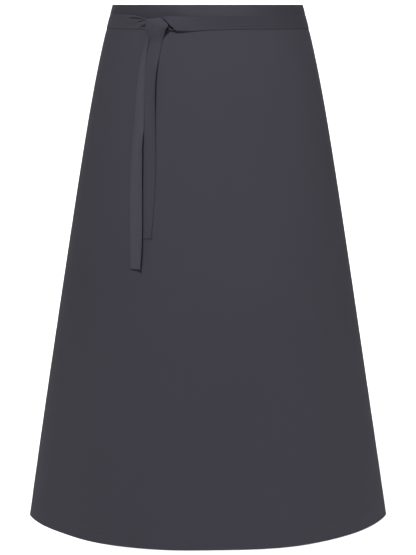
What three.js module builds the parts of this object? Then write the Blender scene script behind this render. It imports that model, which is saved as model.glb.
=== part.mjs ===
// Long waist apron: an A-line panel, a folded waistband and two flat ties knotted at the front.
// Millimetres, +Z up. The origin is the middle of the waist opening, level with the top edge of the band.
// The front faces -Y, and left and right are those of someone who looks at the front.
import * as THREE from 'three';

const { lerp, smoothstep, degToRad, euclideanModulo } = THREE.MathUtils;

// Cut sizes
const LENGTH = 900;
const HEM_CUT = 1040;
const BACK_GAP = 100;
const BAND_HEIGHT = 40;
const TIE_WIDTH = 22.4;
const HEM_DEPTH = 24;
const SIDE_HEM_DEPTH = 10;
const SEAM_DEPTH = 10;
const HEM_EDGE = 2;

// Thicknesses and the room between layers
const CLOTH = 1;
const HEM_CLOTH = 1.8;
const TIE_CLOTH = 1.2;
const SLOT = 2;
const LAYER_GAP = 0.5;

// The form that the cloth goes round: an oval at the waist that widens over the hip and down to the hem
const WAIST_HALF_WIDTH = 158.7;
const SIDE_FLARE = 0.1603;
const HIP_SPRING = 16.4;
const HIP_REACH = 107;
const FRONT_DEPTH = { waist: 110, hem: 191.7 };
const BACK_DEPTH = { waist: 102, hem: 172 };
const SIDE_POWER = { waist: 2.2, hem: 2.7 };
const FRONT_POWER = { waist: 2.2, hem: 1.3 };
const BACK_POWER = { waist: 2.2, hem: 1.9 };

// Soft folds, from the left back edge at -1 to the right back edge at 1. Depth is positive outward.
const FOLDS = [
  { top: -0.95, hem: -0.97, depth: 9, width: 110 },
  { top: -0.83, hem: -0.86, depth: -12, width: 120 },
  { top: -0.6, hem: -0.52, depth: -2.5, width: 150 },
  { top: -0.3, hem: -0.1, depth: 2.5, width: 200 },
  { top: 0.35, hem: 0.42, depth: -2, width: 190 },
  { top: 0.8, hem: 0.84, depth: -11, width: 120 },
  { top: 0.94, hem: 0.95, depth: 10, width: 100 },
];
const FOLD_START = 120;
const FOLD_FULL = 900;

// Where lines down the form begin to spread, and where they spread with the girth
const SPREAD_START = 120;
const SPREAD_FULL = 260;

// Mesh steps
const SECTION_STEPS = 400;
const PANEL_COLUMNS = 70;
const PANEL_ROWS = 10;
const BAND_COLUMNS = 72;
const TIE_STEP = 11;
const TIE_ACROSS = 6;

// Where the layers lie, measured outward from the middle of the panel's cloth
const PANEL_TOP = BAND_HEIGHT - SEAM_DEPTH;
const LEAF_OUT = (SLOT + CLOTH) / 2;
const ON_BAND = LEAF_OUT + CLOTH / 2 + LAYER_GAP + TIE_CLOTH / 2;
const ON_PANEL = CLOTH / 2 + LAYER_GAP + TIE_CLOTH / 2;

function atDrop(size, drop) {
  return lerp(size.waist, size.hem, drop / LENGTH);
}

// One level section of the form, from the middle of the back round by the left side, front and right side
class Section extends THREE.Curve {
  constructor(drop) {
    super();
    this.arcLengthDivisions = SECTION_STEPS;
    this.halfWidth = WAIST_HALF_WIDTH + SIDE_FLARE * drop + HIP_SPRING * (1 - Math.exp(-drop / HIP_REACH));
    this.sidePower = atDrop(SIDE_POWER, drop);
    this.front = { depth: atDrop(FRONT_DEPTH, drop), power: atDrop(FRONT_POWER, drop) };
    this.back = { depth: atDrop(BACK_DEPTH, drop), power: atDrop(BACK_POWER, drop) };
  }

  getPoint(t, target = new THREE.Vector3()) {
    const angle = Math.PI * (0.5 + 2 * t);
    const side = Math.cos(angle);
    const deep = Math.sin(angle);
    const half = deep < 0 ? this.front : this.back;
    const x = Math.sign(side) * this.halfWidth * Math.abs(side) ** (2 / this.sidePower);
    const y = Math.sign(deep) * half.depth * Math.abs(deep) ** (2 / half.power);
    return target.set(x, y, 0);
  }
}

const sections = new Map();

function sectionAt(drop) {
  if (!sections.has(drop)) sections.set(drop, new Section(drop));
  return sections.get(drop);
}

const GIRTH = sectionAt(0).getLength();
const BAND_LENGTH = GIRTH - BACK_GAP;

// Distances round the top edge, carried down the form: straight down at the front, and widening with the
// girth round the sides and the back
function carriedDown(along, drop) {
  const widening = sectionAt(drop).getLength() / GIRTH - 1;
  return along * (1 + widening * smoothstep(Math.abs(along), SPREAD_START, SPREAD_FULL));
}

function halfCut(drop) {
  const seam = carriedDown(BAND_LENGTH / 2, BAND_HEIGHT);
  return lerp(seam, HEM_CUT / 2, (drop - BAND_HEIGHT) / (LENGTH - BAND_HEIGHT));
}

// How far the folds push the cloth out at one place
function foldOut(along, drop) {
  const share = drop / LENGTH;
  const ramp = smoothstep(drop, FOLD_START, FOLD_FULL);
  let out = 0;
  for (const fold of FOLDS) {
    const distance = Math.abs(along - lerp(fold.top, fold.hem, share) * halfCut(drop));
    const reach = Math.min(distance / (fold.width / 2), 1);
    out += fold.depth * ramp * (0.5 + 0.5 * Math.cos(Math.PI * reach));
  }
  return out;
}

// A place on the apron: along the cloth from the middle of the front, down from the top edge, and outward
function place(along, drop, out) {
  const section = sectionAt(drop);
  const share = euclideanModulo(0.5 + along / section.getLength(), 1);
  const point = section.getPointAt(share);
  const tangent = section.getTangentAt(share);
  const reach = out + foldOut(along, drop);
  return new THREE.Vector3(point.x + reach * tangent.y, point.y - reach * tangent.x, -drop);
}

// A closed cloth wall round a grid of points on its middle surface, grid[column][row]
function clothWall(grid, thicknessAt) {
  const columns = grid.length;
  const rows = grid[0].length;
  const leaf = columns * rows;
  const positions = new Float32Array(leaf * 6);
  for (let i = 0; i < columns; i += 1) {
    for (let j = 0; j < rows; j += 1) {
      const along = grid[Math.min(i + 1, columns - 1)][j].clone().sub(grid[Math.max(i - 1, 0)][j]);
      const across = grid[i][Math.min(j + 1, rows - 1)].clone().sub(grid[i][Math.max(j - 1, 0)]);
      const half = along.cross(across).normalize().multiplyScalar(thicknessAt(i, j) / 2);
      const corner = i * rows + j;
      grid[i][j].clone().add(half).toArray(positions, corner * 3);
      grid[i][j].clone().sub(half).toArray(positions, (corner + leaf) * 3);
    }
  }
  const index = [];
  const quad = (a, b, c, d) => index.push(a, b, c, a, c, d);
  for (let i = 0; i + 1 < columns; i += 1) {
    for (let j = 0; j + 1 < rows; j += 1) {
      const a = i * rows + j;
      const b = a + rows;
      quad(a, b, b + 1, a + 1);
      quad(a + leaf, a + 1 + leaf, b + 1 + leaf, b + leaf);
    }
  }
  const edge = (a, b) => quad(b, a, a + leaf, b + leaf);
  for (let i = 0; i + 1 < columns; i += 1) {
    edge(i * rows, (i + 1) * rows);
    edge((i + 2) * rows - 1, (i + 1) * rows - 1);
  }
  for (let j = 0; j + 1 < rows; j += 1) {
    edge(j + 1, j);
    edge((columns - 1) * rows + j, (columns - 1) * rows + j + 1);
  }
  const geometry = new THREE.BufferGeometry();
  geometry.setAttribute('position', new THREE.BufferAttribute(positions, 3));
  geometry.setIndex(index);
  geometry.computeVertexNormals();
  return geometry;
}

function evenSteps(from, to, count) {
  return Array.from({ length: count + 1 }, (_, i) => lerp(from, to, i / count));
}

// The panel: level rows from inside the band down to the hem, with the turned hems as thicker borders
function panelGeometry() {
  const hemFold = LENGTH - HEM_DEPTH;
  const openRows = evenSteps(BAND_HEIGHT + HEM_EDGE, hemFold - HEM_EDGE, PANEL_ROWS);
  const drops = [PANEL_TOP, ...openRows, hemFold, LENGTH];
  const sideFold = 1 - SIDE_HEM_DEPTH / halfCut(LENGTH / 2);
  const places = [-1, ...evenSteps(-sideFold, sideFold, PANEL_COLUMNS), 1];
  const grid = places.map((side) => drops.map((drop) => place(side * halfCut(drop), drop, 0)));
  const inHem = (i, j) => i === 0 || i === places.length - 1 || drops[j] >= hemFold;
  return clothWall(grid, (i, j) => (inHem(i, j) && drops[j] > BAND_HEIGHT ? HEM_CLOTH : CLOTH));
}

// The band: a strip folded over the top edge, with an open slot between its leaves
function bandGeometry() {
  const turn = LEAF_OUT + CLOTH / 2;
  const profile = [{ drop: BAND_HEIGHT, out: LEAF_OUT }, { drop: BAND_HEIGHT / 2, out: LEAF_OUT }];
  for (const degrees of evenSteps(90, -90, 4)) {
    const angle = degToRad(degrees);
    profile.push({ drop: turn - LEAF_OUT * Math.cos(angle), out: LEAF_OUT * Math.sin(angle) });
  }
  profile.push({ drop: BAND_HEIGHT / 2, out: -LEAF_OUT }, { drop: BAND_HEIGHT, out: -LEAF_OUT });
  const stations = evenSteps(-BAND_LENGTH / 2, BAND_LENGTH / 2, BAND_COLUMNS);
  const onBand = (along, { drop, out }) => place(carriedDown(along, drop), drop, out);
  const grid = stations.map((along) => profile.map((corner) => onBand(along, corner)));
  return clothWall(grid, () => CLOTH);
}

// The ties leave the ends of the band, cross behind and come round to the knot at the front left.
// Each row is one place on a tie. Turn 0 runs along the waist and 90 hangs, curl bends the right edge back
// towards the apron, and pleat is the depth of the gathers.
const BACK = GIRTH / 2;
const BAND_END = BACK_GAP / 2;
const TUCK = 14;
const KNOT = -86;
const FLAT = { turn: 0, width: TIE_WIDTH, curl: 0, pleat: 0 };
const HANGING = { turn: 90, width: TIE_WIDTH, curl: 0, pleat: 0 };
const COLUMNS = ['along', 'drop', 'out', 'turn', 'width', 'curl', 'pleat'];

// From the slot in one end of the band, across the gap and round the other side, by distance past the back
function roundTheWaist(side, crossing) {
  const level = { tuck: 13.6, over: 36.8, side: 29 };
  const rows = [
    { past: -BAND_END - TUCK, drop: level.tuck, out: 0 },
    { past: -BAND_END, drop: level.tuck, out: 0 },
    { past: -30, drop: level.tuck, out: crossing.before },
    { past: 0, drop: (level.tuck + level.over) / 2, out: crossing.middle },
    { past: 30, drop: level.over, out: crossing.after },
    { past: BAND_END, drop: level.over, out: ON_BAND },
    { past: BAND_END + 40, drop: level.over - 1.5, out: ON_BAND },
    { past: BACK / 2, drop: level.side, out: ON_BAND },
  ];
  return rows.map(({ past, drop, out }) => ({ ...FLAT, along: side * (BACK - past), drop, out }));
}

// The left tie gathers into the knot, turns down inside it and hangs as the long end
const LEFT_TIE = [
  ...roundTheWaist(-1, { before: 0.5, middle: 1.2, after: 2 }),
  { ...FLAT, along: KNOT - 60, drop: 27, out: ON_BAND },
  { ...FLAT, along: KNOT - 32, drop: 26.8, out: 3.4, width: 20.5, pleat: 0.5 },
  { ...FLAT, along: KNOT - 17, drop: 27.4, out: 5.3, turn: 6, width: 16.5, pleat: 1 },
  { ...FLAT, along: KNOT - 9, drop: 31, out: 5.9, turn: 40, width: 14, pleat: 1 },
  { ...FLAT, along: KNOT - 8, drop: 39, out: 5.9, turn: 75, width: 11, pleat: 1 },
  { ...HANGING, along: KNOT - 12.8, drop: 54, out: 4.6, width: 7.4, pleat: 0.9 },
  { ...HANGING, along: KNOT - 15, drop: 63, out: 5.4, width: 7.8, pleat: 0.9 },
  { ...HANGING, along: KNOT - 17, drop: 72, out: 5.8, width: 9.5, pleat: 0.8 },
  { ...HANGING, along: KNOT - 21.5, drop: 113, out: 4.3, width: 13.5, pleat: 0.6 },
  { ...HANGING, along: KNOT - 26, drop: 170, out: 3.9, width: 17, pleat: 0.4 },
  { ...HANGING, along: KNOT - 30, drop: 212, out: 3.8, width: 20 },
  { ...HANGING, along: KNOT - 31.6, drop: 267, out: 3.7 },
  { ...HANGING, along: KNOT - 32.5, drop: 400, out: 3.6 },
  { ...HANGING, along: KNOT - 32.2, drop: 432, out: 3.4, turn: 93 },
];

// The right tie passes behind the left one, turns up, folds over the top and hangs as the short end
const RIGHT_TIE = [
  ...roundTheWaist(1, { before: 3.7, middle: 4.2, after: 4.2 }),
  { ...FLAT, along: KNOT + 50, drop: 29.6, out: ON_BAND },
  { ...FLAT, along: KNOT + 16, drop: 30.2, out: ON_BAND },
  { ...FLAT, along: KNOT + 6.5, drop: 27.6, out: ON_BAND, turn: 45 },
  { ...HANGING, along: KNOT + 1.5, drop: 20.6, out: 3.1 },
  { ...HANGING, along: KNOT - 0.5, drop: 17, out: 6.2, width: 24 },
  { ...HANGING, along: KNOT - 1, drop: 20.5, out: 9.3, width: 27, curl: 1.5 },
  { ...HANGING, along: KNOT + 3, drop: 27, out: 9.9, width: 31, curl: 3.5 },
  { ...HANGING, along: KNOT + 6, drop: 34, out: 9.8, width: 36, curl: 4.8 },
  { ...HANGING, along: KNOT + 3.8, drop: 44, out: 8.9, width: 27.5, curl: 3 },
  { ...HANGING, along: KNOT + 2.6, drop: 56, out: 6, width: 20.5, curl: 1.2 },
  { ...HANGING, along: KNOT - 2, drop: 70, out: 3.3, width: 21.5, curl: 0.4 },
  { ...HANGING, along: KNOT - 9.4, drop: 111, out: ON_PANEL },
  { ...HANGING, along: KNOT - 11, drop: 170, out: ON_PANEL },
  { ...HANGING, along: KNOT - 11, drop: 267, out: ON_PANEL },
  { ...HANGING, along: KNOT - 16.5, drop: 380, out: ON_PANEL, turn: 88 },
];

// One tie: a smooth ribbon through its rows, pleated and curled across its width
function tieGeometry(rows) {
  const reached = [0];
  for (let i = 1; i < rows.length; i += 1) {
    const step = ['along', 'drop', 'out'].map((key) => rows[i][key] - rows[i - 1][key]);
    reached.push(reached[i - 1] + Math.hypot(...step));
  }
  const values = rows.flatMap((row) => COLUMNS.map((key) => row[key]));
  const route = new THREE.CubicInterpolant(reached, values, COLUMNS.length, []);
  const stops = [0];
  for (let i = 1; i < rows.length; i += 1) {
    const count = Math.max(2, Math.round((reached[i] - reached[i - 1]) / TIE_STEP));
    stops.push(...evenSteps(reached[i - 1], reached[i], count).slice(1));
  }
  const across = evenSteps(-1, 1, TIE_ACROSS);
  const grid = stops.map((stop) => {
    const [along, drop, out, turn, width, curl, pleat] = route.evaluate(stop);
    const angle = degToRad(turn);
    return across.map((side, k) => {
      const reach = side * width / 2;
      const level = drop - reach * Math.cos(angle);
      const gather = k % 2 === 0 ? -pleat : pleat;
      const bend = curl * Math.max(side, 0) ** 2;
      return place(carriedDown(along + reach * Math.sin(angle), level), level, out + gather - bend);
    });
  });
  return clothWall(grid, () => TIE_CLOTH);
}

const PIECES = [
  { name: 'apron_panel', geometry: panelGeometry(), colour: 0x44434b, roughness: 0.9 },
  { name: 'waistband', geometry: bandGeometry(), colour: 0x414048, roughness: 0.9 },
  { name: 'tie_left', geometry: tieGeometry(LEFT_TIE), colour: 0x47464e, roughness: 0.88 },
  { name: 'tie_right', geometry: tieGeometry(RIGHT_TIE), colour: 0x47464e, roughness: 0.88 },
];

const apron = new THREE.Group();
for (const { name, geometry, colour, roughness } of PIECES) {
  const cloth = new THREE.MeshStandardMaterial({ color: colour, roughness, metalness: 0 });
  const mesh = new THREE.Mesh(geometry, cloth);
  mesh.name = name;
  apron.add(mesh);
}

export default apron;
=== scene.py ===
"""A long waist apron: an A-line panel, a folded waistband and two ties knotted at the front.

Cloth sizes are in millimetres, as on a sewing pattern, and meshes are made in metres. A place on the
cloth is given as along (from the middle of the front), drop (down from the top edge) and out.
"""

import math

import bmesh
import bpy
import numpy as np
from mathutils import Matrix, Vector


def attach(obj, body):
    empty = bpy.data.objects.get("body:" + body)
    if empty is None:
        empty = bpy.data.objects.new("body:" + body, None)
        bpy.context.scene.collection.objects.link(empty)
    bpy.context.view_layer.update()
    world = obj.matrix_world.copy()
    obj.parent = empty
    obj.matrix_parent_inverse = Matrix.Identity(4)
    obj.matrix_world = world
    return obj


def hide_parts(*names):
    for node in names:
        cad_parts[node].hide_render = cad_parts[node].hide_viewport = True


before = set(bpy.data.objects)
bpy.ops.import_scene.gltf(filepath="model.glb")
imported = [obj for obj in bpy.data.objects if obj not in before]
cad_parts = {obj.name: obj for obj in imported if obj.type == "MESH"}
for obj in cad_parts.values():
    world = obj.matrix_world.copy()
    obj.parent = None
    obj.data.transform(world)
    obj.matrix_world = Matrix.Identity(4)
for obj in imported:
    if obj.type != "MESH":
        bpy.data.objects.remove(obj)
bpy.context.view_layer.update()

MM = 0.001
TAU = 2 * math.pi

# Cut sizes
LENGTH = 900
HEM_CUT = 1040
BACK_GAP = 100
BAND_HEIGHT = 40
TIE_WIDTH = 22.4
HEM_DEPTH = 24
SIDE_HEM_DEPTH = 10
SEAM_DEPTH = 10
TURN_UNDER = 8

# Thicknesses, and where the layers lie outward from the middle of the panel's cloth
CLOTH = 0.26
TIE_CLOTH = 0.42
PRESSED_EDGE = 0.12
LEAF_OUT = 0.6
LAYER_GAP = 0.04
ON_BAND = LEAF_OUT + CLOTH / 2 + LAYER_GAP + TIE_CLOTH / 2
ON_PANEL = CLOTH / 2 + LAYER_GAP + TIE_CLOTH / 2

# The form that the cloth goes round: an oval at the waist that widens over the hip and down to the hem
FORM_GAP = 0.7
WAIST_HALF_WIDTH = 159.7
SIDE_FLARE = 0.1603
HIP_SPRING = 15.9
HIP_REACH = 107
FRONT_DEPTH = {"waist": 110, "hem": 191.7}
BACK_DEPTH = {"waist": 102, "hem": 172}
SIDE_POWER = {"waist": 2.2, "hem": 2.7}
FRONT_POWER = {"waist": 2.2, "hem": 1.3}
BACK_POWER = {"waist": 2.2, "hem": 1.9}
SPREAD_START = 120
SPREAD_FULL = 260

# Soft folds, from the left back edge at -1 to the right back edge at 1. Depth is positive outward.
FOLDS = [
    {"top": -0.95, "hem": -0.97, "depth": 9, "width": 110},
    {"top": -0.83, "hem": -0.86, "depth": -12, "width": 120},
    {"top": -0.6, "hem": -0.52, "depth": -2.5, "width": 150},
    {"top": -0.3, "hem": -0.1, "depth": 2.5, "width": 200},
    {"top": 0.35, "hem": 0.42, "depth": -2, "width": 190},
    {"top": 0.82, "hem": 0.87, "depth": -10, "width": 115},
    {"top": 0.94, "hem": 0.95, "depth": 10, "width": 100},
]
FOLD_START = 120
FOLD_FULL = 900

# How far the drawn ties press the waist in round the sides and the back
PRESS_DEPTH = 0.7
PRESS_LEVEL = 29
PRESS_FLAT = 9
PRESS_REACH = 19
PRESS_START = 110
PRESS_FULL = 175

# Steps of the tables and meshes
LEVELS = 181
SHARES = 2401
TURN_STEPS = 8001
PANEL_COLUMNS = 200
PANEL_ROWS = 150
BAND_COLUMNS = 220
LEAF_ROWS = 14
TIE_STEP = 2
KNOT_STEP = 0.5
KNOT_REACH = 50
TIE_ACROSS = 40
FOLD_STEPS = 6


def at_drop(size, drop):
    return size["waist"] + (size["hem"] - size["waist"]) * drop / LENGTH


def smoothstep(value, start, end):
    share = np.clip((value - start) / (end - start), 0, 1)
    return share * share * (3 - 2 * share)


def run_along(*axes):
    """Distance along a path at each of its points, whose coordinates are given axis by axis."""
    steps = np.linalg.norm(np.diff(axes), axis=0)
    return np.concatenate(([0], np.cumsum(steps)))


def unit(vectors):
    return vectors / np.linalg.norm(vectors, axis=-1, keepdims=True)


class Form:
    """Level sections of the form by drop, each by share of its girth from the middle of the back."""

    def __init__(self):
        self.drops = np.linspace(0, LENGTH, LEVELS)
        turn = math.pi * (0.5 + 2 * np.linspace(0, 1, TURN_STEPS))
        side, deep = np.cos(turn), np.sin(turn)
        in_front = deep < 0
        girths, sections = [], []
        for drop in self.drops:
            half_width = WAIST_HALF_WIDTH + SIDE_FLARE * drop + HIP_SPRING * (1 - math.exp(-drop / HIP_REACH))
            depth = np.where(in_front, at_drop(FRONT_DEPTH, drop), at_drop(BACK_DEPTH, drop))
            power = np.where(in_front, at_drop(FRONT_POWER, drop), at_drop(BACK_POWER, drop))
            x = np.sign(side) * half_width * np.abs(side) ** (2 / at_drop(SIDE_POWER, drop))
            y = np.sign(deep) * depth * np.abs(deep) ** (2 / power)
            run = run_along(x, y)
            even = np.linspace(0, run[-1], SHARES)
            girths.append(run[-1])
            sections.append(self.with_normals(np.interp(even, run, x), np.interp(even, run, y)))
        self.girths = np.array(girths)
        self.sections = np.array(sections)

    @staticmethod
    def with_normals(x, y):
        """Points of one closed section with the outward normal in plan beside them."""
        run_x = np.roll(x[:-1], -1) - np.roll(x[:-1], 1)
        run_y = np.roll(y[:-1], -1) - np.roll(y[:-1], 1)
        length = np.hypot(run_x, run_y)
        out_x = np.append(run_y / length, run_y[0] / length[0])
        out_y = np.append(-run_x / length, -run_x[0] / length[0])
        return np.stack((x, y, out_x, out_y), axis=-1)

    def girth(self, drop):
        return np.interp(drop, self.drops, self.girths)

    def at(self, along, drop):
        """x, y and the outward normal in plan, blended from the four nearest entries."""
        level = np.clip(drop / LENGTH, 0, 1) * (LEVELS - 1)
        share = np.mod(0.5 + along / self.girth(drop), 1) * (SHARES - 1)
        row = np.minimum(level.astype(int), LEVELS - 2)
        column = np.minimum(share.astype(int), SHARES - 2)
        down, round_ = (level - row)[..., None], (share - column)[..., None]
        upper = self.sections[row, column] * (1 - round_) + self.sections[row, column + 1] * round_
        lower = self.sections[row + 1, column] * (1 - round_) + self.sections[row + 1, column + 1] * round_
        return np.moveaxis(upper * (1 - down) + lower * down, -1, 0)


form = Form()
GIRTH = form.girths[0]
BAND_LENGTH = GIRTH - BACK_GAP


def carried_down(along, drop):
    """Distances round the top edge carried down: straight at the front, widening with the girth behind."""
    widening = form.girth(drop) / GIRTH - 1
    return along * (1 + widening * smoothstep(np.abs(along), SPREAD_START, SPREAD_FULL))


def half_cut(drop):
    seam = carried_down(BAND_LENGTH / 2, BAND_HEIGHT)
    return seam + (HEM_CUT / 2 - seam) * (drop - BAND_HEIGHT) / (LENGTH - BAND_HEIGHT)


def fold_out(along, drop):
    """How far the folds push the cloth out."""
    ramp = smoothstep(drop, FOLD_START, FOLD_FULL)
    out = 0
    for fold in FOLDS:
        middle = fold["top"] + (fold["hem"] - fold["top"]) * drop / LENGTH
        distance = np.abs(along - middle * half_cut(drop))
        reach = np.minimum(distance / (fold["width"] / 2), 1)
        out = out + fold["depth"] * ramp * (0.5 + 0.5 * np.cos(math.pi * reach))
    return out


def press_in(along, drop):
    """How far the ties press the cloth in."""
    near = 1 - smoothstep(np.abs(drop - PRESS_LEVEL), PRESS_FLAT, PRESS_REACH)
    return PRESS_DEPTH * near * smoothstep(np.abs(along), PRESS_START, PRESS_FULL)


def place(along, drop, out):
    along, drop, out = np.broadcast_arrays(*(np.asarray(value, float) for value in (along, drop, out)))
    x, y, out_x, out_y = form.at(along, drop)
    reach = FORM_GAP + out + fold_out(along, drop) - press_in(along, drop)
    return np.stack((x + reach * out_x, y + reach * out_y, -drop), axis=-1)


def surface_normals(points):
    """Unit normals of a grid of points[column, row], to the right of the columns as the rows go up."""
    across = np.gradient(points, axis=0)
    up = np.gradient(points, axis=1)
    return unit(np.cross(across, up))


def turned_edge(radius, depth):
    """An edge turned back on itself: reach towards the edge, and how far it has turned from 0 to 1."""
    swing = np.linspace(0, math.pi, FOLD_STEPS + 1)
    reach = np.concatenate((radius * (np.sin(swing) - 1), np.linspace(-radius, -depth, FOLD_STEPS + 1)[1:]))
    turned = np.concatenate(((1 - np.cos(swing)) / 2, np.ones(FOLD_STEPS)))
    return reach, turned


def turned_over(turned):
    """True past the middle of a turned edge."""
    return turned > 0.5


# Meshes

MERGE_DISTANCE = 0.001


def add_object(name, data):
    thing = bpy.data.objects.new(name, data)
    bpy.context.collection.objects.link(thing)
    return thing


def cloth_object(name, points, flat, closed=False, trimmed=None):
    """A grid of cloth through points[column, row], with flat (across, down) in millimetres as its UV map.

    Corners where trimmed[column, row] is true are cut away.
    """
    columns, rows = points.shape[:2]
    bm = bmesh.new()
    bmesh.ops.create_grid(bm, x_segments=columns - 1, y_segments=rows - 1, size=1)
    if trimmed is not None:
        cut_away = []
        for vertex in bm.verts:
            column = round((vertex.co.x + 1) / 2 * (columns - 1))
            row = round((vertex.co.y + 1) / 2 * (rows - 1))
            if trimmed[column, row]:
                cut_away.append(vertex)
        bmesh.ops.delete(bm, geom=cut_away, context="VERTS")
    mesh = bpy.data.meshes.new(name)
    bm.to_mesh(mesh)
    bm.free()
    corners = np.empty(len(mesh.vertices) * 3)
    mesh.vertices.foreach_get("co", corners)
    corners = corners.reshape(-1, 3)
    column = np.rint((corners[:, 0] + 1) / 2 * (columns - 1)).astype(int)
    row = np.rint((corners[:, 1] + 1) / 2 * (rows - 1)).astype(int)
    mesh.vertices.foreach_set("co", (points[column, row] * MM).ravel())
    loop_vertex = np.empty(len(mesh.loops), int)
    mesh.loops.foreach_get("vertex_index", loop_vertex)
    cut = mesh.uv_layers.new(name="cut")
    cut.data.foreach_set("uv", (flat[column, row][loop_vertex] * MM).ravel())
    if closed:
        close_tube(mesh)
    mesh.shade_smooth()
    return add_object(name, mesh)


def close_tube(mesh):
    """Joins the two long edges of a tube and caps its ends."""
    bm = bmesh.new()
    bm.from_mesh(mesh)
    bmesh.ops.remove_doubles(bm, verts=bm.verts, dist=MERGE_DISTANCE * MM)
    bmesh.ops.holes_fill(bm, edges=bm.edges, sides=0)
    bmesh.ops.recalc_face_normals(bm, faces=bm.faces)
    bm.to_mesh(mesh)
    bm.free()


def thicken(piece, thickness):
    wall = piece.modifiers.new("cloth", "SOLIDIFY")
    wall.thickness = thickness * MM
    wall.offset = 0


def flat_grid(across, down):
    return np.stack(np.meshgrid(across, down, indexing="ij"), axis=-1)


# The panel: one sheet with its bottom and its two back edges turned in

HEM_TURN = 0.6
SIDE_TURN = 0.5
CORNER_TURN = 1.7
CORNER_REACH = 60


def hem_turn(along, drop):
    """Half the thickness of the turned hem, which grows where it goes over the side hems."""
    to_corner = half_cut(drop) - np.abs(along)
    return CORNER_TURN + (HEM_TURN - CORNER_TURN) * smoothstep(to_corner, SIDE_HEM_DEPTH, CORNER_REACH)


def panel_points():
    hem_reach, hem_turned = turned_edge(HEM_TURN, HEM_DEPTH)
    open_rows = np.linspace(BAND_HEIGHT - SEAM_DEPTH, LENGTH - CLOTH / 2 - HEM_TURN, PANEL_ROWS)
    drops = np.concatenate((open_rows, LENGTH - CLOTH / 2 + hem_reach[1:]))[::-1]
    row_turned = np.concatenate((np.zeros(PANEL_ROWS), hem_turned[1:]))[::-1]
    side_reach, side_turned = turned_edge(SIDE_TURN, SIDE_HEM_DEPTH)
    shares = np.linspace(-1, 1, PANEL_COLUMNS)
    edge = np.ones(len(side_reach) - 1)
    share = np.concatenate((-edge, shares, edge))
    from_edge = np.concatenate((side_reach[:0:-1], np.full(PANEL_COLUMNS, -SIDE_TURN), side_reach[1:]))
    column_turned = np.concatenate((side_turned[:0:-1], np.zeros(PANEL_COLUMNS), side_turned[1:]))
    drop, _ = np.meshgrid(drops, share)
    along = share[:, None] * (half_cut(drop) + from_edge[:, None])
    side_out = -2 * SIDE_TURN * column_turned[:, None]
    out = -2 * hem_turn(along, drop) * row_turned + side_out * (1 - 2 * row_turned)
    points = place(along, drop, out)
    turned_down = np.where(turned_over(row_turned), 2 * LENGTH - drops, drops)
    unfolded = np.where(turned_over(column_turned), -from_edge, from_edge)
    turned_across = share[:, None] * (half_cut(drop) + unfolded[:, None])
    flat = np.stack((turned_across, np.broadcast_to(-turned_down, drop.shape)), axis=-1)
    return points, flat


def make_panel():
    points, flat = panel_points()
    panel = cloth_object("panel_cloth", points, flat)
    thicken(panel, CLOTH)
    return panel


# The waistband: a strip folded over the top edge, its long edges and its ends turned under

BAND_TURN = 0.135
END_TURN = 0.13


def band_profile():
    """Drop and out of the strip from the outer leaf's hidden edge, over the top, to the inner leaf's."""
    reach, turned = turned_edge(BAND_TURN, TURN_UNDER)
    leaf_drop = np.linspace(LEAF_OUT + CLOTH / 2, BAND_HEIGHT - CLOTH / 2 - BAND_TURN, LEAF_ROWS)
    top = np.linspace(0, math.pi / 2, FOLD_STEPS + 1)[:-1]
    drop = np.concatenate((
        LEAF_OUT + CLOTH / 2 - LEAF_OUT * np.cos(top),
        leaf_drop,
        BAND_HEIGHT - CLOTH / 2 + reach[1:],
    ))
    out = np.concatenate((
        LEAF_OUT * np.sin(top),
        np.full(len(leaf_drop), LEAF_OUT),
        LEAF_OUT - 2 * BAND_TURN * turned[1:],
    ))
    hidden = turned_over(np.concatenate((np.zeros(len(top) + len(leaf_drop)), turned[1:])))
    drop = np.concatenate((drop[:0:-1], drop))
    out = np.concatenate((out[:0:-1], -out))
    hidden = np.concatenate((hidden[:0:-1], hidden))
    return drop, out, hidden


def make_band():
    drop, out, hidden = band_profile()
    run = run_along(drop, out)
    slope_drop, slope_out = np.gradient(drop), np.gradient(out)
    slope = np.hypot(slope_drop, slope_out)
    inward_drop, inward_out = -slope_out / slope, slope_drop / slope
    reach, turned = turned_edge(END_TURN, TURN_UNDER)
    middle = np.linspace(-1, 1, BAND_COLUMNS) * (BAND_LENGTH / 2 - END_TURN)
    end = BAND_LENGTH / 2 + reach[1:]
    along = np.concatenate((-end[::-1], middle, end))
    tucked = np.concatenate((turned[:0:-1], np.zeros(BAND_COLUMNS), turned[1:]))
    inset = 2 * END_TURN * tucked[:, None]
    level = drop + inset * inward_drop
    points = place(carried_down(along[:, None], level), level, out + inset * inward_out)
    trimmed = turned_over(tucked)[:, None] & hidden[None, :]
    band = cloth_object("band_cloth", points, flat_grid(along, run), trimmed=trimmed)
    thicken(band, CLOTH)
    return band


# The ties leave the ends of the band, cross behind and come round to the knot at the front left.
# Turn 0 runs along the waist and 90 hangs, curl bends the upper or right edge back and wrap the other one,
# and pleat is the depth of the gathers.

BACK = GIRTH / 2
BAND_END = BACK_GAP / 2
TUCK = 14
TUCK_LEVEL = 13.6
CROSSING = 30
OVER_LEVEL = 36.8
LIFT_RUN = 40
LIFT = 1.5
KNOT = -86
KNOT_HALF = 10
EDGE_BEND = (TIE_CLOTH - PRESSED_EDGE) / 2
FLAT = {"turn": 0, "width": TIE_WIDTH, "curl": EDGE_BEND, "wrap": EDGE_BEND, "pleat": 0}
TIE_COLUMNS = ["along", "drop", "out", "turn", "width", "curl", "wrap", "pleat"]


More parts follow.
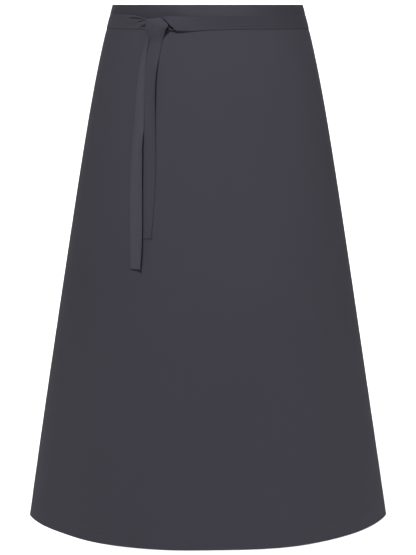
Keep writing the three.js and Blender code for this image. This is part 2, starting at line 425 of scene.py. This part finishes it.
def round_the_waist(side, before, middle, after):
    """From the slot in one end of the band, across the gap and round the other side."""
    rows = [
        {"past": -BAND_END - TUCK, "drop": TUCK_LEVEL, "out": 0},
        {"past": -BAND_END, "drop": TUCK_LEVEL, "out": 0},
        {"past": -CROSSING, "drop": TUCK_LEVEL, "out": before},
        {"past": 0, "drop": (TUCK_LEVEL + OVER_LEVEL) / 2, "out": middle},
        {"past": CROSSING, "drop": OVER_LEVEL, "out": after},
        {"past": BAND_END, "drop": OVER_LEVEL, "out": ON_BAND},
        {"past": BAND_END + LIFT_RUN, "drop": OVER_LEVEL - LIFT, "out": ON_BAND},
        {"past": BACK / 2, "drop": PRESS_LEVEL, "out": ON_BAND},
    ]
    return [{**FLAT, "along": side * (BACK - row.pop("past")), **row} for row in rows]


def lying(beside, drop, out, **shape):
    """A row of a tie along the waist, with its distance to the right of the knot."""
    return {**FLAT, "along": KNOT + beside, "drop": drop, "out": out, **shape}


def hanging(beside, drop, out, **shape):
    return lying(beside, drop, out, **{"turn": 90, **shape})


# The left tie gathers into the knot, turns down inside it and hangs as the long end
LEFT_TIE = [
    *round_the_waist(-1, before=0.5, middle=1.2, after=2),
    lying(-66, 27.4, ON_BAND, width=23.4),
    lying(-42, 27.9, 1.1, width=22.6, pleat=0.1),
    lying(-36, 28.2, 1.15, width=22, pleat=0.15),
    lying(-31, 28.8, 1.6, width=20.8, pleat=0.2),
    lying(-23, 29.8, 4.9, width=18.8, pleat=0.3),
    lying(-15, 31, 6.8, turn=4, width=16.6, pleat=0.4),
    lying(-8, 33, 6.4, turn=38, width=12, wrap=0.4, pleat=0.7),
    lying(-7.5, 41, 5.6, turn=78, width=8, wrap=1, pleat=0.9),
    hanging(-12.5, 54, 5.3, width=6.5, curl=1.6, wrap=1.2, pleat=0.5),
    hanging(-14.2, 64.5, 5.4, width=6, curl=1.6, wrap=1.2, pleat=0.4),
    hanging(-16.5, 72.5, 5, width=7, curl=1.4, wrap=1.2, pleat=0.3),
    hanging(-20.4, 88.6, 4.4, width=9.6, curl=0.8, wrap=1.3, pleat=0.2),
    hanging(-22.9, 104.7, 3.8, width=11.4, curl=1.2, wrap=1.5),
    hanging(-24.4, 120.8, 3.4, width=13.4, curl=1.3, wrap=1.6),
    hanging(-26.6, 152.9, 3.2, width=15.6, curl=1.2, wrap=1.8),
    hanging(-27.9, 185, 3.2, width=17.4, curl=1, wrap=2),
    hanging(-29, 203, 3.3, width=18.8, curl=0.2, wrap=2.2),
    hanging(-29.6, 218, 3.5, width=19.8, curl=-4.4, wrap=2.4),
    hanging(-31.6, 267, 3.4, curl=-5, wrap=2.4),
    hanging(-32.5, 395, 3.2, width=22, curl=-5.2, wrap=2.2),
    hanging(-33.4, 432, 3.6, turn=88, width=19, curl=-5.6, wrap=2.4),
]

# The right tie passes behind the left one, turns up, folds over the top and hangs as the short end
RIGHT_TIE = [
    *round_the_waist(1, before=3.7, middle=4.2, after=4.2),
    lying(100, 29.4, ON_BAND + 0.1),
    lying(76, 30.1, 1.8, width=23, curl=0.4, wrap=0.5),
    lying(54, 30.9, 3.6, width=23.4, curl=1, wrap=1.1),
    lying(41, 30.7, 7, width=23.4, curl=1.4, wrap=2.7),
    lying(33, 30.3, 9.8, width=23, curl=1, wrap=3.2),
    lying(24, 29.8, 11, width=22, wrap=1.6),
    lying(13, 29.2, 9.6, turn=12, width=19),
    lying(5, 28.4, 9, turn=55, width=17),
    hanging(1, 26, 3.4, turn=84),
    hanging(-2.5, 22.6, 7.2, turn=82, width=28, wrap=1.2),
    hanging(-0.8, 24.6, 12.2, turn=82, width=29, curl=1.2, wrap=4.6),
    hanging(2.4, 29, 14.2, turn=86, width=35, curl=2.4, wrap=6.6),
    hanging(4.4, 32.6, 14.6, width=38.6, curl=2.8, wrap=6.6),
    hanging(2.8, 39.5, 13.4, width=33.8, curl=3.4, wrap=5.2),
    hanging(2.4, 45, 11.6, width=29.6, curl=5, wrap=4),
    hanging(1.6, 56, 6.4, width=22.8, curl=5.2, wrap=3),
    hanging(-1.2, 68, 4.2, width=21.5, curl=3.1, wrap=1.8),
    hanging(-5.4, 88, 2.9, curl=0.3, wrap=0.7),
    hanging(-7.2, 100, 2.4, curl=-2.8, wrap=0.6),
    hanging(-8.6, 111, 2, curl=-4.6, wrap=0.6),
    hanging(-10.2, 148, 1.6, curl=-6, wrap=0.5),
    hanging(-11, 182, 1.2, curl=-3.6, wrap=0.4),
    hanging(-11, 267, ON_PANEL, curl=-1.8),
    hanging(-16, 350, ON_PANEL, turn=88, curl=-1.4),
    hanging(-18.4, 382, ON_PANEL, turn=86, curl=-2.6),
]

# Creases in the drawn cloth. Start and end are distances along the tie from the knot, from and to are
# sides of the tie, from its lower or left edge at -1 to the other at 1, and width is a share of its half.
CREASE_GROWN = 0.4
CREASE_FADES = 0.85
LEFT_CREASES = [
    {"start": -50, "end": -6, "from": 0.36, "to": 0.76, "depth": 2.9, "width": 0.1},
    {"start": -30, "end": 0, "from": -0.3, "to": 0.95, "depth": 2.6, "width": 0.1},
]
RIGHT_CREASES = [
    {"start": -320, "end": -34, "from": -0.24, "to": -0.24, "depth": 0.25, "width": 0.07},
]

# The left tie's upper half swells before the creases, and below a slanting line its cloth is tucked in
# beside the knot
LEFT_SWELL = {"start": -60, "full": -42, "fall": -26, "end": -12, "low": -0.7, "high": 0.4, "height": 2.7}
LEFT_TUCK = {"start": -27.5, "end": 4, "from": -1.1, "to": 0.5, "depth": 5, "width": 0.09}
TUCK_GROWS = 0.05
TUCK_GROWN = 0.6
TUCK_FADES = 0.75

# The right tie dips under the knot left of a slanting line. From its lower edge the floor of the dip
# rises from the foot to a ledge, and above the crest it falls back into a hollow.
DIP_LEVEL = 21
DIP_ALONG = KNOT + 14.7
DIP_SLOPE = 1.014
DIP_REACH = 2
DIP_FLOOR = 2.6
DIP_FOOT = 42
DIP_LEAN = 0.7
DIP_LEDGE = 1.5
DIP_CREST = 40
DIP_HOLLOW = 3.2
DIP_BACK = 0.6
DIP_END = 6


def smooth_through(stops, values, at):
    """A cubic through rows of values whose slope at each row is the mean of its neighbours' slopes."""
    slopes = np.diff(values, axis=0) / np.diff(stops)[:, None]
    tangents = np.concatenate((slopes[:1], (slopes[1:] + slopes[:-1]) / 2, slopes[-1:]))
    span = np.clip(np.searchsorted(stops, at, side="right") - 1, 0, len(stops) - 2)
    width = (stops[span + 1] - stops[span])[:, None]
    share = (at - stops[span])[:, None] / width
    rest = 1 - share
    start = rest**2 * ((1 + 2 * share) * values[span] + share * width * tangents[span])
    end = share**2 * ((3 - 2 * share) * values[span + 1] - rest * width * tangents[span + 1])
    return start + end


# Gathers across a drawn tie, and how far it is pressed thin: from its free end in millimetres, and from
# its edges as a share of its half width
GATHERS = 3
END_PRESS = 2
EDGE_PRESS = 0.2


def line_across(line, from_knot):
    """How far along a crease or tuck the cloth is, and the side where its line runs."""
    share = np.clip((from_knot - line["start"]) / (line["end"] - line["start"]), 0, 1)
    return share, line["from"] + (line["to"] - line["from"]) * share


def creased(creases, out, side, from_knot):
    """Cloth sunk into creases that grow from their start to their end."""
    for crease in creases:
        share, middle = line_across(crease, from_knot)
        grown = smoothstep(share, 0, CREASE_GROWN) * (1 - smoothstep(share, CREASE_FADES, 1))
        out = out - crease["depth"] * grown * np.exp(-(((side - middle) / crease["width"]) ** 2))
    return out


def gathered(out, spot):
    """The left tie's cloth, swelling, creased and tucked in beside the knot."""
    side, from_knot = spot["side"], spot["from_knot"]
    swell = LEFT_SWELL["height"] * smoothstep(side, LEFT_SWELL["low"], LEFT_SWELL["high"])
    swell = swell * smoothstep(from_knot, LEFT_SWELL["start"], LEFT_SWELL["full"])
    swell = swell * (1 - smoothstep(from_knot, LEFT_SWELL["fall"], LEFT_SWELL["end"]))
    share, middle = line_across(LEFT_TUCK, from_knot)
    grown = smoothstep(share, TUCK_GROWS, TUCK_GROWN) * (1 - smoothstep(share, TUCK_FADES, 1))
    below = 1 - smoothstep(side, middle - LEFT_TUCK["width"], middle + LEFT_TUCK["width"])
    return creased(LEFT_CREASES, out + swell, side, from_knot) - LEFT_TUCK["depth"] * grown * below


def dipped(out, spot):
    """The right tie's cloth, creased, and sunk left of the slanting line until it turns up."""
    level, from_knot = spot["level"], spot["from_knot"]
    line = DIP_ALONG + DIP_SLOPE * (level - DIP_LEVEL)
    sunk = np.clip((line - spot["across"]) / DIP_REACH, 0, 1) * (1 - smoothstep(from_knot, 0, DIP_END))
    floor = DIP_FLOOR + np.clip(DIP_LEAN * (DIP_FOOT - level), 0, DIP_LEDGE)
    floor = floor - np.clip(DIP_BACK * (DIP_CREST - level), 0, DIP_HOLLOW)
    out = creased(RIGHT_CREASES, out, spot["side"], from_knot)
    return out + (floor - out) * sunk


def tie_middle(rows, shaped, knot_row):
    """The middle surface of a tie, points[station, across], its run by station and the knot's station."""
    values = np.array([[row[name] for name in TIE_COLUMNS] for row in rows], float)
    stops = run_along(*values[:, :3].T)
    before, after = stops[knot_row] - KNOT_REACH, stops[knot_row] + KNOT_REACH
    at = np.concatenate((
        np.linspace(0, before, int(before / TIE_STEP), endpoint=False),
        np.linspace(before, after, int(2 * KNOT_REACH / KNOT_STEP), endpoint=False),
        np.linspace(after, stops[-1], int((stops[-1] - after) / TIE_STEP)),
    ))
    columns = smooth_through(stops, values, at).T
    along, drop, out, turn, width, curl, wrap, pleat = (column[:, None] for column in columns)
    side = np.linspace(-1, 1, TIE_ACROSS + 1)[None, :]
    reach = side * width / 2
    level = drop - reach * np.cos(np.radians(turn))
    gather = -pleat * np.cos(GATHERS * math.pi * (side + 1))
    bend = curl * np.maximum(side, 0) ** 2 + wrap * np.maximum(-side, 0) ** 2
    pressed = 1 - smoothstep(stops[-1] - at, 0, END_PRESS)[:, None]
    across = along + reach * np.sin(np.radians(turn))
    spot = {"across": across, "level": level, "side": side, "from_knot": (at - stops[knot_row])[:, None]}
    surface = shaped(out + gather - bend - EDGE_BEND * pressed, spot)
    middle = place(carried_down(across, level), level, surface)
    run = run_along(*middle[:, TIE_ACROSS // 2].T)
    return middle, run, np.searchsorted(at, stops[knot_row])


def make_tie(name, rows, shaped):
    """A tie as a closed tube, with its middle surface, its run to the knot and its whole run."""
    knot_row = next(i for i, row in enumerate(rows) if abs(row["along"] - KNOT) < KNOT_HALF)
    middle, run, at_knot = tie_middle(rows, shaped, knot_row)
    from_edge = 1 - np.abs(np.linspace(-1, 1, TIE_ACROSS + 1))
    fullness = smoothstep(from_edge, 0, EDGE_PRESS) * smoothstep(run[-1] - run, 0, END_PRESS)[:, None]
    thickness = PRESSED_EDGE + (TIE_CLOTH - PRESSED_EDGE) * fullness
    normals = surface_normals(middle) * thickness[..., None] / 2
    last_edge = middle[:, -1] + unit(middle[:, -1] - middle[:, -2]) * PRESSED_EDGE / 2
    first_edge = middle[:, 0] + unit(middle[:, 0] - middle[:, 1]) * PRESSED_EDGE / 2
    ring = np.concatenate((
        middle + normals,
        last_edge[:, None],
        (middle - normals)[:, ::-1],
        first_edge[:, None],
        (middle + normals)[:, :1],
    ), axis=1)
    across = np.linspace(0, 2 * TIE_WIDTH, ring.shape[1])
    tie = cloth_object(name, ring, flat_grid(run, across)[..., ::-1], closed=True)
    return tie, middle, run[at_knot], run[-1]


# Stitches, two millimetres in from the sewn edges

STITCH_PITCH = 3
STITCH_LONG = 2.3
STITCH_WIDE = 0.42
STITCH_THICK = 0.3
STITCH_SIDES = 6
STITCH_RINGS = 4
EDGE_INSET = 2


def sewn_row(along, drop, out, carried=True):
    """A path on the cloth and the way out from it."""
    along, drop = np.broadcast_arrays(np.asarray(along, float), np.asarray(drop, float))
    if carried:
        along = carried_down(along, drop)
    path = place(along, drop, out)
    return path, (place(along, drop, out + 1) - path) * np.sign(out)[..., None]


def even_steps(path, outward):
    """Middles of the stitches along a path, with unit vectors ahead and outward."""
    run = run_along(*path.T)
    at = np.arange(STITCH_PITCH / 2, run[-1], STITCH_PITCH)

    def sampled(values, shift=0):
        return np.stack([np.interp(at + shift, run, values[:, axis]) for axis in range(3)], axis=-1)

    ahead = sampled(path, STITCH_LONG / 2) - sampled(path, -STITCH_LONG / 2)
    return sampled(path), unit(ahead), unit(sampled(outward))


def make_stitches(name, rows):
    """One mesh of small rounded stitches along the rows, copies of one stitch set in their places."""
    steps = [even_steps(*row) for row in rows]
    middle, ahead, up = (np.concatenate(parts) for parts in zip(*steps))
    bm = bmesh.new()
    bmesh.ops.create_uvsphere(bm, u_segments=STITCH_SIDES, v_segments=STITCH_RINGS, radius=0.5)
    mesh = bpy.data.meshes.new(name)
    bm.to_mesh(mesh)
    corners = np.array([vertex.co for vertex in mesh.vertices])
    bm.clear()
    for _ in middle:
        bm.from_mesh(mesh)
    bm.to_mesh(mesh)
    bm.free()
    wide, thick, long_ = (corners * (STITCH_WIDE, STITCH_THICK, STITCH_LONG)).T[:, None, :, None]
    beside = np.cross(ahead, up)
    points = middle[:, None] + long_ * ahead[:, None] + thick * up[:, None] + wide * beside[:, None]
    mesh.vertices.foreach_set("co", (points * MM).ravel())
    mesh.shade_smooth()
    return add_object(name, mesh)


def panel_rows():
    """Along the bottom hem and down both side hems, outside and inside."""
    share = np.linspace(-1, 1, PANEL_COLUMNS)
    hem_level = np.full(PANEL_COLUMNS, LENGTH - HEM_DEPTH + EDGE_INSET)
    hem_along = share * (half_cut(hem_level) - EDGE_INSET)
    inside = -2 * hem_turn(hem_along, hem_level) - CLOTH / 2
    rows = [
        sewn_row(hem_along, hem_level, np.full(PANEL_COLUMNS, CLOTH / 2), carried=False),
        sewn_row(hem_along, hem_level, inside, carried=False),
    ]
    level = np.linspace(BAND_HEIGHT + EDGE_INSET, LENGTH - HEM_DEPTH, PANEL_ROWS)
    for side in (-1, 1):
        along = side * (half_cut(level) - SIDE_HEM_DEPTH + EDGE_INSET)
        for out in (CLOTH / 2, -2 * SIDE_TURN - CLOTH / 2):
            rows.append(sewn_row(along, level, np.full(PANEL_ROWS, out), carried=False))
    return rows


def band_rows():
    """Along the lower edge and across both ends, on both leaves."""
    reach = BAND_LENGTH / 2 - EDGE_INSET
    rows = []
    for face in (-1, 1):
        out = np.full(BAND_COLUMNS, face * (LEAF_OUT + CLOTH / 2))
        rows.append(sewn_row(np.linspace(-reach, reach, BAND_COLUMNS), BAND_HEIGHT - EDGE_INSET, out))
        for side in (-1, 1):
            across = np.linspace(EDGE_INSET, BAND_HEIGHT - EDGE_INSET, BAND_COLUMNS)
            rows.append(sewn_row(side * reach, across, out))
    return rows


def tie_rows(middle):
    """Along the closing edge and across the free end, on both faces."""
    normals = surface_normals(middle)
    rows = []
    inset = round(TIE_ACROSS * EDGE_INSET / TIE_WIDTH)
    end = -1 - round(EDGE_INSET / TIE_STEP)
    for face in (-1, 1):
        surface = middle + normals * face * TIE_CLOTH / 2
        rows.append((surface[:, inset], normals[:, inset] * face))
        rows.append((surface[end, inset:-inset], normals[end, inset:-inset] * face))
    return rows


# Materials


class Value:
    """A shader socket with arithmetic: an expression on values adds its Math nodes."""

    def __init__(self, finish, socket):
        self.finish = finish
        self.socket = socket

    def maths(self, operation, *others):
        inputs = dict(enumerate((self, *others)))
        return self.finish.node("ShaderNodeMath", {"operation": operation}, inputs)[0]

    def __add__(self, other):
        return self.maths("ADD", other)

    __radd__ = __add__

    def __rsub__(self, other):
        return (self * -1) + other

    def __mul__(self, other):
        return self.maths("MULTIPLY", other)

    __rmul__ = __mul__

    def sine(self):
        return self.maths("SINE")


# Sockets that share their name with others, by number
OBJECT_PLACE = 3
MIX_FIRST = 6
MIX_SECOND = 7
MIX_COLOUR = 2


class Finish:
    """One material, its nodes and its surface shader."""

    def __init__(self, name):
        self.material = bpy.data.materials.new(name)
        self.material.use_nodes = True
        self.tree = self.material.node_tree
        self.tree.nodes.clear()

    def node(self, kind, settings=None, inputs=None):
        """Adds a node, sets its settings, then its sockets' values or links, and returns its outputs."""
        made = self.tree.nodes.new(kind)
        for name, value in (settings or {}).items():
            setattr(made, name, value)
        for name, value in (inputs or {}).items():
            if isinstance(value, Value):
                self.tree.links.new(value.socket, made.inputs[name])
            else:
                made.inputs[name].default_value = value
        return [Value(self, socket) for socket in made.outputs]

    def object_place(self):
        return self.node("ShaderNodeTexCoord")[OBJECT_PLACE]

    def noise(self, at, scale, detail):
        return self.node("ShaderNodeTexNoise", {}, {"Vector": at, "Scale": scale, "Detail": detail})[0]

    def mixed(self, factor, first, second, blend="MIX"):
        settings = {"data_type": "RGBA", "blend_type": blend}
        inputs = {"Factor": factor, MIX_FIRST: first, MIX_SECOND: second}
        return self.node("ShaderNodeMix", settings, inputs)[MIX_COLOUR]

    def bump(self, height, strength, distance):
        inputs = {"Height": height, "Strength": strength, "Distance": distance * MM}
        return self.node("ShaderNodeBump", {}, inputs)[0]

    def surface(self, inputs):
        shader = self.node("ShaderNodeBsdfPrincipled", {}, inputs)[0]
        self.node("ShaderNodeOutputMaterial", {}, {"Surface": shader})
        return self.material


WALE = 1.1 * MM
YARN = 0.55 * MM
STREAKS_ACROSS = 420
STREAKS_DOWN = 9
STREAK_SHARE = 0.35
WALE_SHADE = 0.06
WALE_RELIEF = 0.6
YARN_RELIEF = 0.4
STREAK_RELIEF = 0.5
DYE_DARK = (0.041, 0.0395, 0.0509, 1)
DYE_LIGHT = (0.047, 0.0455, 0.0584, 1)
THREAD_DARK = (0.034, 0.033, 0.042, 1)
THREAD_LIGHT = (0.044, 0.043, 0.055, 1)


def woven_cloth(name, *painted_shade_ramps):
    """Fine twill on the piece's own cut: diagonal wales, yarn grain and soft uneven dye, with painted shade
    over it.

    In each painted shade ramp the colour goes from one tone to another between two distances on the piece:
    painted shade where the tone falls below one, painted light where it rises above one.
    """
    finish = Finish(name)
    cut = finish.node("ShaderNodeUVMap", {"uv_map": "cut"})[0]
    across, down, _ = finish.node("ShaderNodeSeparateXYZ", {}, {"Vector": cut})
    wale = ((across + down) * (TAU / WALE)).sine()
    yarn = (across * (TAU / YARN)).sine() * (down * (TAU / YARN)).sine()
    stretched = {"X": across * STREAKS_ACROSS, "Y": down * STREAKS_DOWN}
    streak = finish.noise(finish.node("ShaderNodeCombineXYZ", {}, stretched)[0], scale=1, detail=3)
    dye = finish.noise(finish.object_place(), scale=5, detail=2)
    shade = dye * (1 - STREAK_SHARE) + streak * STREAK_SHARE + wale * WALE_SHADE
    dyed = finish.mixed(shade, DYE_DARK, DYE_LIGHT)
    # Painted shade and light: the colour is multiplied by tones that darken or lighten it along or across the
    # piece, standing for how the lamps fall on it
    painted_tone = 1
    for painted_shade_ramp in painted_shade_ramps:
        painted_tone = painted_tone * finish.node(
            "ShaderNodeMapRange", {"interpolation_type": "SMOOTHSTEP"},
            {
                "Value": down if painted_shade_ramp["lengthwise"] else across.maths("ABSOLUTE"),
                "From Min": painted_shade_ramp["start"] * MM,
                "From Max": painted_shade_ramp["end"] * MM,
                "To Min": painted_shade_ramp["tones"][0],
                "To Max": painted_shade_ramp["tones"][1],
            },
        )[0]
    height = wale * WALE_RELIEF + yarn * YARN_RELIEF + streak * STREAK_RELIEF
    return finish.surface({
        "Base Color": finish.mixed(1, dyed, painted_tone, "MULTIPLY"),
        "Roughness": 0.9 - wale * 0.03,
        "Normal": finish.bump(height, strength=0.25, distance=0.12),
        "Specular IOR Level": 0.1,
        "Sheen Weight": 0.02,
        "Sheen Roughness": 0.6,
    })


def sewing_thread(name):
    """Matt thread in the tone of the cloth, with the turns of its ply."""
    finish = Finish(name)
    ply = finish.noise(finish.object_place(), scale=2500, detail=1)
    return finish.surface({
        "Base Color": finish.mixed(ply, THREAD_DARK, THREAD_LIGHT),
        "Roughness": 0.75 + ply * 0.1,
        "Normal": finish.bump(ply, strength=0.3, distance=0.05),
    })


# Studio: a pale sweep, two soft lights in front and one behind, and the camera

SWEEP_LEVEL = -1.1
SWEEP_HALF_WIDTH = 2.5
SWEEP_FRONT = -2.5
SWEEP_BEND = 3.2
SWEEP_RADIUS = 1.2
SWEEP_WALL = 3
SWEEP_STEPS = 16
PAPER = (0.93, 0.93, 0.93, 1)
ROOM_LIGHT = 0.06
LIGHTS = [
    {"name": "key", "stand": (-0.75, -2.7, 2.45), "aim": (0, 0, -0.3), "size": 0.4, "power": 157},
    {"name": "fill", "stand": (3.2, -1.3, 0.6), "aim": (0, 0, -0.4), "size": 1.6, "power": 36},
    {"name": "back", "stand": (0, 2.4, 3), "aim": (0, 3.4, -0.9), "size": 2.6, "power": 260},
]


def make_sweep():
    """A pale floor that curves up behind."""
    bm = bmesh.new()
    corners = [bm.verts.new((-SWEEP_HALF_WIDTH, y, SWEEP_LEVEL)) for y in (SWEEP_FRONT, SWEEP_BEND)]
    bm.edges.new(corners)
    bmesh.ops.spin(
        bm, geom=[corners[1]], cent=(0, SWEEP_BEND, SWEEP_LEVEL + SWEEP_RADIUS), axis=(1, 0, 0),
        angle=math.pi / 2, steps=SWEEP_STEPS, use_merge=False,
    )
    top = max(bm.verts, key=lambda vertex: vertex.co.z)
    raised = bmesh.ops.extrude_vert_indiv(bm, verts=[top])["verts"]
    bmesh.ops.translate(bm, vec=(0, 0, SWEEP_WALL), verts=raised)
    swept = bmesh.ops.extrude_edge_only(bm, edges=bm.edges[:])["geom"]
    moved = [item for item in swept if isinstance(item, bmesh.types.BMVert)]
    bmesh.ops.translate(bm, vec=(2 * SWEEP_HALF_WIDTH, 0, 0), verts=moved)
    bmesh.ops.recalc_face_normals(bm, faces=bm.faces)
    mesh = bpy.data.meshes.new("studio_sweep")
    bm.to_mesh(mesh)
    bm.free()
    mesh.shade_smooth()
    sweep = add_object("studio_sweep", mesh)
    finish = Finish("studio_paper")
    grain = finish.noise(finish.object_place(), scale=3, detail=2)
    sweep.data.materials.append(finish.surface({"Base Color": PAPER, "Roughness": 0.9 + grain * 0.05}))


def make_light(name, stand, aim, size, power):
    light = bpy.data.lights.new(name, "AREA")
    light.shape = "DISK"
    light.size = size
    light.energy = power
    lamp = add_object(name, light)
    lamp.location = stand
    lamp.rotation_euler = (Vector(aim) - Vector(stand)).to_track_quat("-Z", "Y").to_euler()


def make_studio():
    make_sweep()
    for light in LIGHTS:
        make_light(**light)
    world = bpy.data.worlds.new("studio")
    bpy.context.scene.world = world
    world.use_nodes = True
    background = world.node_tree.nodes["Background"]
    background.inputs["Color"].default_value = (1, 1, 1, 1)
    seen = world.node_tree.nodes.new("ShaderNodeLightPath").outputs["Is Camera Ray"]
    strength = world.node_tree.nodes.new("ShaderNodeMapRange")
    strength.inputs["To Min"].default_value = ROOM_LIGHT
    world.node_tree.links.new(seen, strength.inputs["Value"])
    world.node_tree.links.new(strength.outputs[0], background.inputs["Strength"])
    bpy.context.scene.view_settings.view_transform = "Standard"


CAMERA_PLACE = (0.0005, -2.7, 0)
CAMERA_PITCH = 9.872
LENS = 101.717
SENSOR = 36


def make_camera():
    data = bpy.data.cameras.new("camera")
    data.sensor_fit = "VERTICAL"
    data.sensor_height = SENSOR
    data.lens = LENS
    camera = add_object("camera", data)
    camera.location = CAMERA_PLACE
    camera.rotation_euler = (math.radians(90 - CAMERA_PITCH), 0, 0)
    bpy.context.scene.camera = camera


make_camera()
make_studio()

panel = make_panel()
band = make_band()
tie_left, left_middle, left_knot, left_length = make_tie("tie_cloth_left", LEFT_TIE, gathered)
tie_right, right_middle, right_knot, right_length = make_tie("tie_cloth_right", RIGHT_TIE, dipped)

# Painted shade: the panel is a shade darker towards its sides, and painted lighter near the top and darker
# towards the hem, as the key light falls off down it
panel_twill_and_shade = woven_cloth(
    "panel_twill",
    {"lengthwise": False, "start": 120, "end": 300, "tones": (0.91, 0.9)},
    {"lengthwise": True, "start": -600, "end": -100, "tones": (0.965, 1.03)},
)
# Painted shade: the band darkens towards its ends, where it turns away from the lamps round the sides
band_twill_and_shade = woven_cloth(
    "band_twill",
    {"lengthwise": False, "start": 30, "end": 130, "tones": (0.94, 0.735)},
)
# Painted shade and light: the tie is darker where it lies drawn along the waist and lighter from the knot
# down the hanging long end
left_twill_and_shade = woven_cloth(
    "tie_twill_left",
    {"lengthwise": True, "start": left_knot - 40, "end": left_knot, "tones": (0.93, 1.16)},
)
# Painted shade: the tie darkens away from the knot, where it runs round the side away from the lamps
right_twill_and_shade = woven_cloth(
    "tie_twill_right",
    {"lengthwise": True, "start": right_knot - 150, "end": right_knot, "tones": (0.76, 0.96)},
)
thread_finish = sewing_thread("thread")

PIECES = [
    (panel, "apron_panel", "panel_cloth", panel_twill_and_shade),
    (band, "waistband", "band_cloth", band_twill_and_shade),
    (tie_left, "tie_left", "tie_cloth", left_twill_and_shade),
    (tie_right, "tie_right", "tie_cloth", right_twill_and_shade),
]
for piece, node, slot, finish in PIECES:
    piece.data.materials.append(finish)
    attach(piece, "root")
    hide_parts(node)

panel_stitches = make_stitches("panel_stitches", panel_rows())
band_stitches = make_stitches("band_stitches", band_rows())
left_stitches = make_stitches("tie_stitches_left", tie_rows(left_middle))
right_stitches = make_stitches("tie_stitches_right", tie_rows(right_middle))
SEWN = [
    (panel_stitches, "panel_cloth"),
    (band_stitches, "band_cloth"),
    (left_stitches, "tie_cloth"),
    (right_stitches, "tie_cloth"),
]
for stitches, slot in SEWN:
    stitches.data.materials.append(thread_finish)
    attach(stitches, "root")

panel_drop = (LENGTH - BAND_HEIGHT + SEAM_DEPTH + HEM_DEPTH) * MM
panel_width = (HEM_CUT + 2 * SIDE_HEM_DEPTH) * MM
panel_top = (2 * half_cut(BAND_HEIGHT - SEAM_DEPTH) + 2 * SIDE_HEM_DEPTH) * MM
(panel_width + panel_top) / 2 * panel_drop
